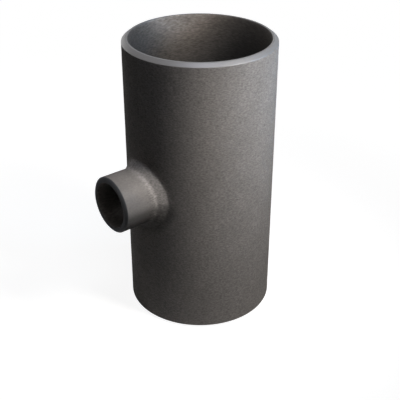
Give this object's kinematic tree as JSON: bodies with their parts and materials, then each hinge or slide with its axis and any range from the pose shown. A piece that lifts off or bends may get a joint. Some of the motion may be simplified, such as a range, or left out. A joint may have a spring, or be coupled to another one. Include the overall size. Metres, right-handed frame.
{
  "type": "reducing butt weld tee",
  "caption": "Seamless reducing tee: a straight run barrel with a smaller side branch on a blended neck, and bevelled ends for butt welding.",
  "frame": {"origin": "where the run's axis and the branch's axis cross, midway between the run's two ends", "axes": "+Z along the run's axis, +X along the branch's axis and out of its mouth"},
  "size_m": [0.1104, 0.0888, 0.172],
  "materials": {
    "forged_steel": "satin"
  },
  "bodies": {
    "root": {"tee": "forged_steel"}
  },
  "joints": []
}
